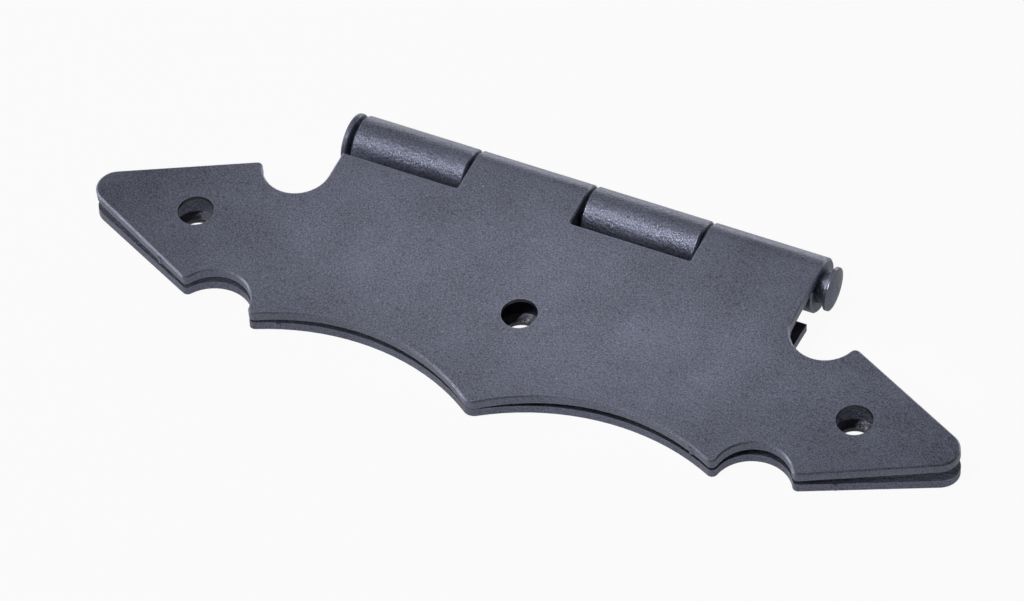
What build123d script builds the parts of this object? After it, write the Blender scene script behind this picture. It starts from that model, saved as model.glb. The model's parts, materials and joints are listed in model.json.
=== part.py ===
from build123d import *
from math import acos, atan2, cos, degrees, hypot, radians, sin, sqrt, tan
import os

# Decorative butt hinge of stamped sheet steel, in millimetres.
# X runs along the pin, the leaves reach from the pin towards -Y and +Z is up.
# The lower leaf lies flat with its outer face on Z = 0, and its middle screw
# hole is centred on the origin. The hinge is shut, as it lies on a table.

# Sheet and screw holes
sheet = 1.5  # thickness of the strip that both leaves are stamped from
edge_break = 0.22  # broken edge on the side that the punch entered
hole_pitch = 50.0  # the three holes lie on one line along X
hole_dia = 5.15
hole_reach = 22.6  # from the pin's axis to the line of holes
land = 0.65  # straight wall of a screw hole, below its countersink
sink_angle = 90.0

# Pin and knuckles
pin_dia = 4.9
pin_clearance = 0.05  # radial, between the pin and the knuckles
knuckle_count = 4  # on the whole barrel, shared by the two leaves
knuckle = 17.325  # length of one knuckle
knuckle_gap = 0.5  # between two knuckles
seam = 0.3  # between the end of a curl and its own leaf
relief = 5.45  # depth of the cut-outs, from the pin's axis
relief_round = 0.4

# Pin heads
head_dia = 7.9
head = 0.95  # thickness of the made head, at the left
head_round = 0.35
head_gap = 0.65  # between the made head and the first knuckle
peen_dia = 6.3
peen = 0.9  # height of the peened head, at the right
peen_rim = 0.45  # straight rim of the peened head
peen_gap = 1.25  # between the peened head and the last knuckle

# Outline of a leaf, for one half. Its straight side lies at the barrel's end,
# and each reach is measured from the pin's axis.
wing_length = 26.9  # from the leaf's side to the centre of the wing's round tip
wing_line = 22.82  # reach of a wing's middle line
tip_r = 3.0
wing_angle = 26.2  # of each edge of a wing, from its middle line
back_notch_reach = 9.98
back_notch_r = 4.92
front_notch_out = 5.38  # from the leaf's side to the notch's centre
front_notch_reach = 36.32
front_notch_r = 5.5
scallop_in = 15.66  # from the leaf's side to the scallop's centre
scallop_centre_reach = 64.85
scallop_r = 32.14
horn_round = 0.8  # corners beside the notches
point_round = 1.6  # the point in the middle of the front

# Stubs left where the leaf was snapped off its strip
stub_r = 0.4
stub_out = 0.25  # how far a stub stands out of the edge
wing_stub_out = 15.6  # from the leaf's side
scallop_stub_in = 4.1

# Gap between the two leaves' points when the hinge is shut
shut_gap = 0.12

# Sizes that follow
bore_r = pin_dia / 2 + pin_clearance
barrel_r = bore_r + sheet
inner = barrel_r - sheet  # from the pin's axis to a leaf's inner face
pitch = knuckle + knuckle_gap
barrel = knuckle_count * pitch - knuckle_gap
side = barrel / 2
knuckle_starts = [i * pitch - side for i in range(knuckle_count)]
back_notch = (side + back_notch_r, back_notch_reach)  # its rim runs into the leaf's side
front_notch = (side + front_notch_out, front_notch_reach)
scallop = (side - scallop_in, scallop_centre_reach)
wing_tip = side + wing_length
wing_stub = side + wing_stub_out
scallop_stub = side - scallop_stub_in
wing_slope = tan(radians(wing_angle))
wing_end = wing_tip + tip_r * sin(radians(wing_angle))  # where a wing's edges meet its round tip
sink_r = hole_dia / 2 + (sheet - land) * tan(radians(sink_angle / 2))
pin_axis = Axis((0, hole_reach, barrel_r), (1, 0, 0))
turn_over = Axis((0, hole_reach, barrel_r), (0, 1, 0))
near = 0.01  # how closely an edge has to lie to be picked


def scallop_reach(along):
    """Reach of the front edge at a distance along the pin."""
    return scallop[1] - sqrt(scallop_r**2 - (abs(along) - scallop[0]) ** 2)


def wing_reach(along, side_of_tip):
    """Reach of a wing's front (+1) or back (-1) edge at a distance along the pin."""
    return wing_line + side_of_tip * (tip_r * cos(radians(wing_angle)) + (wing_end - along) * wing_slope)


def reach(edge):
    """Reach of an edge's middle from the pin's axis."""
    return hole_reach - edge.center().Y


def is_horn(edge):
    """Whether an upright edge is a corner of the wings, past the sides and off the middle."""
    return reach(edge) > back_notch_reach + near and near < abs(edge.center().X) < wing_end - near


# The two leaves turn about the pin until their rounded points nearly meet.
point_reach = scallop[1] - sqrt((scallop_r + point_round) ** 2 - scallop[0] ** 2) + point_round
shut_angle = degrees(acos((shut_gap - inner) / hypot(inner, point_reach)) - atan2(point_reach, inner))

# %% Lower leaf
# A stamped plate with wings, notches and scallops, and two curled knuckles.
with BuildPart() as lower_leaf:
    with BuildSketch(Plane((0, hole_reach, 0))) as outline:
        front = scallop_reach(0) + tip_r  # past the point, so that the scallops cut it
        with BuildLine():
            Polyline(
                (0, 0),
                (side, 0),
                (side, -back_notch[1]),
                (back_notch[0], -wing_reach(back_notch[0], -1)),
                (wing_end, -wing_reach(wing_end, -1)),
            )
            ThreePointArc(
                (wing_end, -wing_reach(wing_end, -1)),
                (wing_tip + tip_r, -wing_line),
                (wing_end, -wing_reach(wing_end, 1)),
            )
            Polyline(
                (wing_end, -wing_reach(wing_end, 1)),
                (wing_end - (front - wing_reach(wing_end, 1)) / wing_slope, -front),
                (0, -front),
            )
            mirror(about=Plane.YZ)
        make_face()
        for centre, radius in (
            (back_notch, back_notch_r),
            (front_notch, front_notch_r),
            (scallop, scallop_r),
        ):
            with Locations((centre[0], -centre[1]), (-centre[0], -centre[1])):
                Circle(radius, mode=Mode.SUBTRACT)
        # Cut-outs where the other leaf's knuckles turn
        for start in knuckle_starts[1::2]:
            with Locations((start + knuckle / 2, 0)):
                Rectangle(knuckle + 2 * knuckle_gap, 2 * relief, mode=Mode.SUBTRACT)
    extrude(amount=sheet)
    corners = lower_leaf.edges().filter_by(Axis.Z)
    point = corners.filter_by(lambda e: abs(e.center().X) < near)
    horns = corners.filter_by(is_horn)
    inside = corners.filter_by(lambda e: abs(reach(e) - relief) < near and abs(e.center().X) < side - near)
    fillet(point, point_round)
    fillet(horns, horn_round)
    fillet(inside, relief_round)

    # Each curl starts from the flat, goes round the pin and stops short of the leaf.
    wrap = acos((inner - seam) / barrel_r)
    for start in knuckle_starts[::2]:
        with BuildSketch(Plane((start, hole_reach, 0), x_dir=(0, 1, 0), z_dir=(1, 0, 0))) as curl:
            with BuildLine():
                start_out = (0, 0)
                start_in = (0, sheet)
                end_out = (-barrel_r * sin(wrap), barrel_r - barrel_r * cos(wrap))
                end_in = (-bore_r * sin(wrap), barrel_r - bore_r * cos(wrap))
                back_out = (barrel_r * sin(wrap / 2), barrel_r + barrel_r * cos(wrap / 2))
                back_in = (bore_r * sin(wrap / 2), barrel_r + bore_r * cos(wrap / 2))
                ThreePointArc(start_out, back_out, end_out)
                Line(end_out, end_in)
                ThreePointArc(end_in, back_in, start_in)
                Line(start_in, start_out)
            make_face()
        extrude(amount=knuckle)

    # Broken edges of the outer face and of the knuckles' ends
    flat_rim = lower_leaf.edges().filter_by(lambda e: e.bounding_box().max.Z < near)
    flat_rim = flat_rim.filter_by(lambda e: reach(e) > near)
    ends = lower_leaf.edges().filter_by(GeomType.CIRCLE)
    ends = ends.filter_by(lambda e: abs(e.radius - barrel_r) < near and e.bounding_box().size.X < near)
    chamfer(flat_rim + ends, edge_break)

    # Screw holes, countersunk from the inner face
    with Locations(Plane.XY.offset(sheet)):
        with GridLocations(hole_pitch, hole_pitch, 3, 1):
            CounterSinkHole(hole_dia / 2, sink_r, sheet, sink_angle)

    # Snapped-off stubs on one wing and on the scallop of the other side
    with BuildSketch(Plane((0, hole_reach, 2 * edge_break))) as stubs:
        with Locations(
            (wing_stub, -wing_reach(wing_stub, 1) + stub_r - stub_out),
            (-scallop_stub, -scallop_reach(scallop_stub) + stub_r - stub_out),
        ):
            Circle(stub_r)
    extrude(amount=sheet - 2 * edge_break)

# %% Upper leaf
# The same stamping turned over, and shut on the lower leaf.
with BuildPart() as upper_leaf:
    turned = lower_leaf.part.rotate(turn_over, 180)
    add(turned.rotate(pin_axis, shut_angle))

# %% Hinge pin
# One round rod, headed at the left and peened over at the right.
with BuildPart() as hinge_pin:
    left = -side - head_gap
    right = side + peen_gap
    with BuildSketch(Plane.XZ.offset(-hole_reach)) as half_pin:
        with BuildLine():
            Polyline(
                (left - head, barrel_r),
                (left - head, barrel_r + head_dia / 2),
                (left, barrel_r + head_dia / 2),
                (left, barrel_r + pin_dia / 2),
                (right, barrel_r + pin_dia / 2),
                (right, barrel_r + peen_dia / 2),
                (right + peen_rim, barrel_r + peen_dia / 2),
            )
            crown = (right + peen, barrel_r)
            rise = peen - peen_rim
            crown_r = (peen_dia**2 / 4 + rise**2) / (2 * rise)
            half_turn = atan2(peen_dia / 2, crown_r - rise) / 2
            middle = (crown[0] - crown_r * (1 - cos(half_turn)), barrel_r + crown_r * sin(half_turn))
            ThreePointArc((right + peen_rim, barrel_r + peen_dia / 2), middle, crown)
            Line(crown, (left - head, barrel_r))
        make_face()
    revolve(axis=pin_axis)
    made_head = hinge_pin.edges().filter_by(lambda e: e.bounding_box().size.Z > head_dia - near)
    fillet(made_head, head_round)

lower_leaf.part.label = "lower_leaf"
upper_leaf.part.label = "upper_leaf"
hinge_pin.part.label = "hinge_pin"

os.makedirs("parts", exist_ok=True)
export_step(lower_leaf.part, "parts/lower_leaf.step")
export_step(upper_leaf.part, "parts/upper_leaf.step")
export_step(hinge_pin.part, "parts/hinge_pin.step")
print("barrel radius", round(barrel_r, 3), "barrel", round(barrel, 2), "shut angle", round(shut_angle, 3))
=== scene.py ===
# %% [markdown]
# # A decorative butt hinge
# The hinge has three steel pieces: two equal stamped leaves, folded shut, and the
# pin that their rolled knuckles turn on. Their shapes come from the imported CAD
# model, which stays where it is. This file gives them their finish, and adds the
# table, the lights and the camera.

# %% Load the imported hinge
import json
import math

import bmesh
import bpy
from mathutils import Matrix, Vector

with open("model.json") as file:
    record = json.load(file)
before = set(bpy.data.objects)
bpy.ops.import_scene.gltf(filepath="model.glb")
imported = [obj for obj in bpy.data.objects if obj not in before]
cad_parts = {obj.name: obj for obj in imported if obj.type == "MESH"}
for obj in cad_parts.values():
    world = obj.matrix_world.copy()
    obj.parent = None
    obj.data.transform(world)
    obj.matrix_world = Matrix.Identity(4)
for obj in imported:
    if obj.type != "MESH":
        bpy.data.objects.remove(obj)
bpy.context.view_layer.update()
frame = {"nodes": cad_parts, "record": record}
nodes = frame["nodes"]
MM = 0.001


# %% [markdown]
# ## Colours and nodes
# A colour is written as a designer writes it, as an sRGB hex value. Blender's
# nodes work in linear light, so one function turns each channel. A second
# function adds a node, sets it up and links it, so that a material reads as a
# short list from its pattern to its surface.

# %% Colour helper
def linear(hex_value):
    """An sRGB hex value such as "#5a5c68" as linear red, green, blue and alpha."""
    channels = [int(hex_value[i : i + 2], 16) / 255 for i in (1, 3, 5)]
    return [c / 12.92 if c <= 0.04045 else ((c + 0.055) / 1.055) ** 2.4 for c in channels] + [1.0]


print("mid grey in linear light:", round(linear("#808080")[0], 3))

# %% Node helpers
def add(tree, kind, settings=None, **inputs):
    """Adds a node, sets its properties, and sets or links its inputs by name.

    An input is named with _ for each space, or as _ and its number.
    """
    node = tree.nodes.new(kind)
    for name, value in (settings or {}).items():
        setattr(node, name, value)
    for name, value in inputs.items():
        key = int(name[1:]) if name[0] == "_" else name.replace("_", " ")
        socket = node.inputs[key]
        if isinstance(value, bpy.types.NodeSocket):
            tree.links.new(value, socket)
        else:
            socket.default_value = value
    return node


def blank(name):
    """A new material with an empty node tree, and the tree."""
    material = bpy.data.materials.new(name)
    material.use_nodes = True
    material.node_tree.nodes.clear()
    return material, material.node_tree


print("two helpers make the materials:", add.__name__, "and", blank.__name__)

# %% [markdown]
# ## Colour of the powder coat
# The steel is coated with a graphite black powder that was melted onto it in an
# oven. The powder holds metal flakes, so close up the coat is a fine speckle of
# darker and lighter blue-grey. Here and there a pale dot is painted in as a
# flake's glint: a painted highlight, which stays bright under any lamp. A picture
# of a real coat could be wrapped round the leaves, but it would stretch over the
# rolled knuckles. Noise in the piece's own object coordinates runs through all
# its faces alike, and stays with the metal when it swings. Broad clouds under the
# speckle stand for powder that lay thicker or thinner.

# %% Flakes
FLAKE = 0.22 * MM  # really under 0.1 mm, drawn coarser because that wouldn't show
CLOUD = 9 * MM
CLOUD_SHARE = 0.2
SPARKLE = 5 * MM  # from one painted glint to the next
SPARKLE_RIM = 0.035  # its radius, and that of its bright core, in cells of 5 mm
SPARKLE_CORE = 0.01
# painted highlight: the pale colour painted in where a flake would glint
PAINTED_GLINT = "#c4c6d0"
NOISE_LOW, NOISE_HIGH = 0.3, 0.7  # nearly all values of a noise lie between these


def flakes(tree, place, dark, light):
    """The coat's speckled colour with painted flake glints, and the grain and clouds that it is made
    from.
    """
    grain = add(tree, "ShaderNodeTexNoise", Vector=place, Scale=1 / FLAKE, Detail=2.5, Roughness=0.65)
    clouds = add(tree, "ShaderNodeTexNoise", Vector=place, Scale=1 / CLOUD, Detail=3.0, Roughness=0.55)
    mottle = add(tree, "ShaderNodeMix", {"data_type": "FLOAT"},
                 _0=CLOUD_SHARE, _2=grain.outputs[0], _3=clouds.outputs[0])
    spread = add(tree, "ShaderNodeMapRange",
                 Value=mottle.outputs[0], From_Min=NOISE_LOW, From_Max=NOISE_HIGH)
    tone = add(tree, "ShaderNodeMix", {"data_type": "RGBA"},
               _0=spread.outputs[0], _6=linear(dark), _7=linear(light))
    cells = add(tree, "ShaderNodeTexVoronoi", Vector=place, Scale=1 / SPARKLE)
    painted_glint_mask = add(tree, "ShaderNodeMapRange",
                Value=cells.outputs["Distance"], From_Min=SPARKLE_RIM, From_Max=SPARKLE_CORE)
    # painted highlight: pale dots painted into the colour as flake glints
    lit = add(tree, "ShaderNodeMix", {"data_type": "RGBA"},
              _0=painted_glint_mask.outputs[0], _6=tone.outputs[2], _7=linear(PAINTED_GLINT))
    return lit.outputs[2], grain.outputs[0], clouds.outputs[0]


print("noise scales of the coat, per metre:", [round(1 / size) for size in (FLAKE, CLOUD, SPARKLE)])

# %% [markdown]
# ## Edges of the powder coat
# Molten powder draws back from a sharp edge. The coat is thinner there, so it is
# a little paler, and it set smoother, so each edge that faces a lamp shows as a
# thin bright line. The CAD meshes aren't changed here, so a Bevel node finds their
# edges: it gives the direction that the surface would have if its corners were
# rounded, and where that differs from the face's own, an edge is near.

# %% Edges
EDGE = 0.25 * MM  # how far the coat has drawn back on each side of an edge
FACE_DOT = 0.995  # rounded and own direction agree this well where a face begins
EDGE_DOT = 0.93  # and this badly at an edge


def drawn_edges(tree):
    """How near the surface is to a sharp edge, from 0 on a face to 1."""
    rounded = add(tree, "ShaderNodeBevel", {"samples": 4}, Radius=EDGE)
    flat = add(tree, "ShaderNodeNewGeometry").outputs["Normal"]
    bend = add(tree, "ShaderNodeVectorMath", {"operation": "DOT_PRODUCT"},
               _0=rounded.outputs[0], _1=flat)
    edge = add(tree, "ShaderNodeMapRange",
               Value=bend.outputs["Value"], From_Min=FACE_DOT, From_Max=EDGE_DOT)
    return edge.outputs[0]


print("the coat draws back over", round(EDGE / MM, 2), "mm")

# %% [markdown]
# ## Painted shade in the screw holes
# The walls and countersinks of the screw holes are painted darker, as painted
# shade in these recesses, which also dims the sheen there. The imported record
# says where each leaf's middle hole is, which way it faces, and how far the holes
# are apart. The holes lie on one line along X, so X wrapped at their pitch is
# measured from the nearest hole. A cross product with the hole's axis then gives
# the distance from that axis, and a dot product gives the depth below the outer
# face, which stays as it is.

# %% Hole walls
mounts = {mount["name"]: mount for mount in frame["record"]["mounts"]}
HOLE_PITCH = mounts["lower_screws"]["dims"]["spacing_x_mm"] / 2 * MM
HOLE_R = mounts["lower_screws"]["dims"]["hole_r_mm"] * MM
COUNTERSINK = 0.9 * MM  # how far a countersink reaches out past its hole
SKIN = 0.03 * MM  # depth at which a wall begins


def hole_walls(tree, place, screws):
    """Whether the surface is a wall of a leaf's screw holes, 0 or 1."""
    apart = add(tree, "ShaderNodeVectorMath", {"operation": "SUBTRACT"},
                _0=place, _1=screws["pos_m"])
    spot = add(tree, "ShaderNodeSeparateXYZ", Vector=apart.outputs[0])
    along = add(tree, "ShaderNodeMath", {"operation": "WRAP"},
                _0=spot.outputs["X"], _1=HOLE_PITCH / 2, _2=-HOLE_PITCH / 2)
    nearest = add(tree, "ShaderNodeCombineXYZ",
                  X=along.outputs[0], Y=spot.outputs["Y"], Z=spot.outputs["Z"])
    aside = add(tree, "ShaderNodeVectorMath", {"operation": "CROSS_PRODUCT"},
                _0=nearest.outputs[0], _1=screws["axis"])
    away = add(tree, "ShaderNodeVectorMath", {"operation": "LENGTH"}, _0=aside.outputs[0])
    close = add(tree, "ShaderNodeMath", {"operation": "LESS_THAN"},
                _0=away.outputs["Value"], _1=HOLE_R + COUNTERSINK)
    rise = add(tree, "ShaderNodeVectorMath", {"operation": "DOT_PRODUCT"},
               _0=nearest.outputs[0], _1=screws["axis"])
    under = add(tree, "ShaderNodeMath", {"operation": "LESS_THAN"},
                _0=rise.outputs["Value"], _1=-SKIN)
    wall = add(tree, "ShaderNodeMath", {"operation": "MULTIPLY"},
               _0=close.outputs[0], _1=under.outputs[0])
    return wall.outputs[0]


print("screw holes, mm:", round(2 * HOLE_R / MM, 2), "wide,", round(HOLE_PITCH / MM, 2), "apart")

# %% [markdown]
# ## Skin of the powder coat
# The skin isn't quite flat: it set with a shallow orange peel, which breaks up
# the sheen on the knuckles. The peel is a bump, as it is far too shallow to show
# on an outline. Under the skin the flakes reflect as a metal does, and the clear
# resin over them adds a second, sharper sheen. So the surface is mostly metallic
# with a rough metal sheen, and has a half-strength clear coat on top.
#
# The lower leaf seems to have taken more powder than the upper one: its knuckles,
# the first and third, show a deeper peel and a stronger sheen than those beside
# them. Each leaf and the pin have a coat of their own, made by one function.

# %% Powder coat
PEEL = 0.45 * MM  # from one hollow of the orange peel to the next
GRAIN_IN_SKIN = 0.4  # how much of the bump is the flakes' grain
METAL = 0.85
CLEAR_COAT = 0.5
CLEAR_ROUGHNESS = 0.3
THIN_COAT = "#a8abbc"  # the paler colour at the edges
THIN_SHARE = 0.3  # how much of the thin coat's colour an edge takes
EDGE_ROUGHNESS = 0.28  # the thin coat there set smoother than the faces
UNEVEN = 0.04  # the clouds change the roughness by this, up and down
HOLE_PAINTED_SHADE = "#2c2b2e"  # painted shade in the screw holes
HOLE_SHADE_SHARE = 0.75  # how strongly the holes' walls take the painted shade


def powder_coat(name, dark, light, roughness, peel_depth, screws=None):
    """Graphite powder coat with orange peel, and painted shade on the walls of a mount's holes, if one
    is given.
    """
    material, tree = blank(name)
    place = add(tree, "ShaderNodeTexCoord").outputs["Object"]
    colour, grain, clouds = flakes(tree, place, dark, light)
    edge = drawn_edges(tree)
    worn = add(tree, "ShaderNodeMath", {"operation": "MULTIPLY"}, _0=edge, _1=THIN_SHARE)
    thin = add(tree, "ShaderNodeMix", {"data_type": "RGBA"},
               _0=worn.outputs[0], _6=colour, _7=linear(THIN_COAT))
    colour = thin.outputs[2]
    if screws:
        # painted shade: the walls and countersinks of the holes are darkened
        wall = add(tree, "ShaderNodeMath", {"operation": "MULTIPLY"},
                   _0=hole_walls(tree, place, screws), _1=HOLE_SHADE_SHARE)
        painted_hole_shade = add(tree, "ShaderNodeMix", {"data_type": "RGBA"},
                         _0=wall.outputs[0], _6=colour, _7=linear(HOLE_PAINTED_SHADE))
        colour = painted_hole_shade.outputs[2]
    peel = add(tree, "ShaderNodeTexNoise", Vector=place, Scale=1 / PEEL, Detail=2.0, Roughness=0.5)
    skin = add(tree, "ShaderNodeMix", {"data_type": "FLOAT"},
               _0=GRAIN_IN_SKIN, _2=peel.outputs[0], _3=grain)
    bump = add(tree, "ShaderNodeBump", Height=skin.outputs[0], Distance=peel_depth, Strength=1.0)
    gloss = add(tree, "ShaderNodeMapRange", Value=clouds, From_Min=NOISE_LOW, From_Max=NOISE_HIGH,
                To_Min=roughness - UNEVEN, To_Max=roughness + UNEVEN)
    set_skin = add(tree, "ShaderNodeMix", {"data_type": "FLOAT"},
                   _0=edge, _2=gloss.outputs[0], _3=EDGE_ROUGHNESS)
    shader = add(tree, "ShaderNodeBsdfPrincipled", Base_Color=colour, Metallic=METAL,
                 Roughness=set_skin.outputs[0], Normal=bump.outputs[0], Coat_Weight=CLEAR_COAT,
                 Coat_Roughness=CLEAR_ROUGHNESS, Coat_Normal=bump.outputs[0])
    add(tree, "ShaderNodeOutputMaterial", Surface=shader.outputs[0])
    print(name, "has", len(tree.nodes), "nodes")
    return material


# Satin, with a fine even grain
upper_coat = powder_coat("graphite_powder_coat", "#3b3e4a", "#979bb2", 0.52, 0.06 * MM,
                         mounts["upper_screws"])
# Glossier and coarser, with a mottled sheen on the knuckles
lower_coat = powder_coat("graphite_powder_coat_thick", "#343741", "#9195ae", 0.45, 0.14 * MM,
                         mounts["lower_screws"])
# Duller and more even, as the pin's ends are small
pin_coat = powder_coat("graphite_powder_coat_on_pin", "#4a4d5b", "#898da3", 0.55, 0.05 * MM)

# %% Coat the pieces
coats = {"lower_leaf": lower_coat, "upper_leaf": upper_coat, "hinge_pin": pin_coat}
for name, coat in coats.items():
    for slot in nodes[name].material_slots:
        slot.material = coat
    print(name, "is coated with", coat.name)

# %% [markdown]
# ## Table
# The hinge lies on a plain white table, a single flat face. To the camera it is
# mostly its own white, so that it comes out white as in a product picture without
# any more light on the hinge, and the rest is lit and keeps the hinge's shadow.
# The coat's sheen sees a part of that white too. All other light meets a matt
# grey-white surface, so that little of it is thrown back up under the leaves.

# %% Table top
TABLE_HALF = 3.0  # metres, so that its far edge stays out of the picture
TABLE_GAP = 0.02 * MM  # keeps the table's face off the lower leaf's

table_mesh = bpy.data.meshes.new("table")
board = bmesh.new()
top = Matrix.Translation((0, 0, -TABLE_GAP))
bmesh.ops.create_grid(board, x_segments=1, y_segments=1, size=TABLE_HALF, matrix=top)
board.to_mesh(table_mesh)
board.free()
table = bpy.data.objects.new("table", table_mesh)
bpy.context.scene.collection.objects.link(table)
print("table is", 2 * TABLE_HALF, "m wide")

# %% Table's finish
TABLE_WHITE = "#d6d6d6"  # of the part that is lit
WHITE_TO_CAMERA = 0.94
WHITE_IN_SHEEN = 0.3

white, tree = blank("matt_white_table")
matt = add(tree, "ShaderNodeBsdfDiffuse", Color=linear(TABLE_WHITE))
glow = add(tree, "ShaderNodeEmission", Color=linear("#ffffff"), Strength=1.0)
path = add(tree, "ShaderNodeLightPath")
dull = add(tree, "ShaderNodeMath", {"operation": "MULTIPLY"},
           _0=path.outputs["Is Glossy Ray"], _1=WHITE_IN_SHEEN)
share = add(tree, "ShaderNodeMath", {"operation": "MULTIPLY_ADD"},
            _0=path.outputs["Is Camera Ray"], _1=WHITE_TO_CAMERA, _2=dull.outputs[0])
both = add(tree, "ShaderNodeMixShader", _0=share.outputs[0], _1=matt.outputs[0], _2=glow.outputs[0])
add(tree, "ShaderNodeOutputMaterial", Surface=both.outputs[0])
table_mesh.materials.append(white)
print("table is finished with", white.name)

# %% [markdown]
# ## Room
# The room is dim overhead and bright close to the table, most of all behind the
# hinge and to its left. The flat leaves face the dim part and stay dark, while
# the back of the barrel and the edges that face left catch the bright band, which
# draws their pale rims. A ring of lamps could do the same, but a world that is
# coloured by direction is one light with no hard ends.

# %% Room
DIM = 0.07  # strength of the world overhead
BAND_TOP = 0.3  # sine of the elevation where the bright band ends
BAND_FULL = 0.08  # and where it is at its full strength
BEHIND_LEFT = (-0.45, 0.89, 0)
GLARE_AWAY, GLARE_BEHIND = 0.2, 3.6  # strength of the band in front, and behind
GLARE_START, GLARE_END = -0.2, 0.8  # cosines of the angle from BEHIND_LEFT where it rises

world = bpy.data.worlds.new("white_room")
bpy.context.scene.world = world
world.use_nodes = True
tree = world.node_tree
tree.nodes.clear()
way = add(tree, "ShaderNodeTexCoord").outputs["Generated"]
height = add(tree, "ShaderNodeSeparateXYZ", Vector=way).outputs["Z"]
low = add(tree, "ShaderNodeMapRange", {"interpolation_type": "SMOOTHSTEP"},
          Value=height, From_Min=BAND_TOP, From_Max=BAND_FULL)
behind = add(tree, "ShaderNodeVectorMath", {"operation": "DOT_PRODUCT"}, _0=way, _1=BEHIND_LEFT)
glare = add(tree, "ShaderNodeMapRange", Value=behind.outputs["Value"],
            From_Min=GLARE_START, From_Max=GLARE_END, To_Min=GLARE_AWAY, To_Max=GLARE_BEHIND)
rim = add(tree, "ShaderNodeMath", {"operation": "MULTIPLY_ADD"},
          _0=low.outputs[0], _1=glare.outputs[0], _2=DIM)
room = add(tree, "ShaderNodeBackground", Color=linear("#ffffff"), Strength=rim.outputs[0])
add(tree, "ShaderNodeOutputWorld", Surface=room.outputs[0])
print("room is lit by", world.name)

# %% [markdown]
# ## Softboxes
# A softbox is a lamp behind a white cloth, so it is an area light. The one in
# front, to the left and above stands where the rounded fronts of the knuckles
# mirror it to the camera, and it draws their sheen. It is small, because a large
# one would wash out the orange peel. The one far to the left lights the edges
# that face left. Two weak ones hang close over the leaves and fill them evenly.

# %% Softboxes
def softbox(name, at, size, power):
    """A rectangular lamp at a place, aimed at the middle of the hinge."""
    lamp = bpy.data.lights.new(name, "AREA")
    lamp.shape = "RECTANGLE"
    lamp.size, lamp.size_y = size
    lamp.energy = power
    box = bpy.data.objects.new(name, lamp)
    bpy.context.scene.collection.objects.link(box)
    box.location = at
    box.rotation_euler = (-Vector(at)).to_track_quat("-Z", "Y").to_euler()
    print(name, "at", [round(x, 2) for x in at])


# Places and sizes in metres, and the power in watts
softbox("softbox_front_left", (-0.24, -0.43, 0.56), (0.1, 0.05), 1.15)
softbox("softbox_left", (-0.69, -0.25, 0.31), (0.35, 0.35), 1.4)
softbox("softbox_near_back", (-0.06, 0.082, 0.157), (0.12, 0.05), 0.026)
softbox("softbox_near_top", (0.0, 0.0, 0.15), (0.12, 0.04), 0.017)

# %% [markdown]
# ## Spotlight
# On the real hinge the leaf is brightest along its middle, and falls off softly
# towards the wings, the barrel and the points. A spotlight with a narrow beam and
# a fully blended edge does that. A spotlight's beam is round, so the lamp's own
# scale widens it, and the lamp is turned about its beam so that the long side of
# the lit patch runs along the pin.

# %% Spotlight
SPOT_AT = Vector((-0.1, -0.22, 0.5))
SPOT_AIM = Vector((0.009, 0.0065, 0))
SPOT_POWER = 5.8
SPOT_CONE = math.radians(4)
SPOT_WIDTH = 3.9  # how many times as long as high the lit patch is
SPOT_SOURCE = 0.012  # radius of the lamp's bulb

lamp = bpy.data.lights.new("spotlight_front", "SPOT")
lamp.energy = SPOT_POWER
lamp.spot_size = SPOT_CONE
lamp.spot_blend = 1.0
lamp.shadow_soft_size = SPOT_SOURCE
spotlight = bpy.data.objects.new("spotlight_front", lamp)
bpy.context.scene.collection.objects.link(spotlight)
back = (SPOT_AT - SPOT_AIM).normalized()  # a lamp shines along its own -Z
across = (Vector((1, 0, 0)) - back * back.x).normalized()
spot_turn = Matrix((across, back.cross(across), back)).transposed().to_4x4()
widen = Matrix.Diagonal((SPOT_WIDTH, 1, 1, 1))
spotlight.matrix_world = Matrix.Translation(SPOT_AT) @ spot_turn @ widen
print("spotlight is", round((SPOT_AT - SPOT_AIM).length, 2), "m away")

# %% [markdown]
# ## Camera
# The camera was solved from the photograph: the screw holes, the outline of
# both leaves and the barrel give where it stood and its long lens. Its three
# directions, to the right, down and forward in the picture, make its matrix.

# %% Camera
WIDE = 1024  # pixels of the photograph's frame
SENSOR = 36.0  # width of the camera's sensor, in mm
camera_at = Vector((285.122, -570.564, 638.611)) * MM
right = Vector((0.903412, 0.428168, -0.02278))
down = Vector((0.286707, -0.642734, -0.710417))
forward = Vector((-0.31882, 0.635268, -0.703412))
focal_px = 6550.6

camera = bpy.data.objects.new("camera", bpy.data.cameras.new("camera"))
bpy.context.scene.collection.objects.link(camera)
camera_turn = Matrix((right, -down, -forward)).transposed().to_4x4()
camera.matrix_world = Matrix.Translation(camera_at) @ camera_turn
camera.data.sensor_width = SENSOR
camera.data.lens = focal_px * SENSOR / WIDE
camera.data.clip_start = 0.05
camera.data.clip_end = 20
bpy.context.scene.camera = camera
print("lens, mm:", round(camera.data.lens, 1))

# %% [markdown]
# ## Picture settings
# The picture is shown as it was lit, with no film look.

# %% Picture settings
bpy.context.scene.view_settings.view_transform = "Standard"
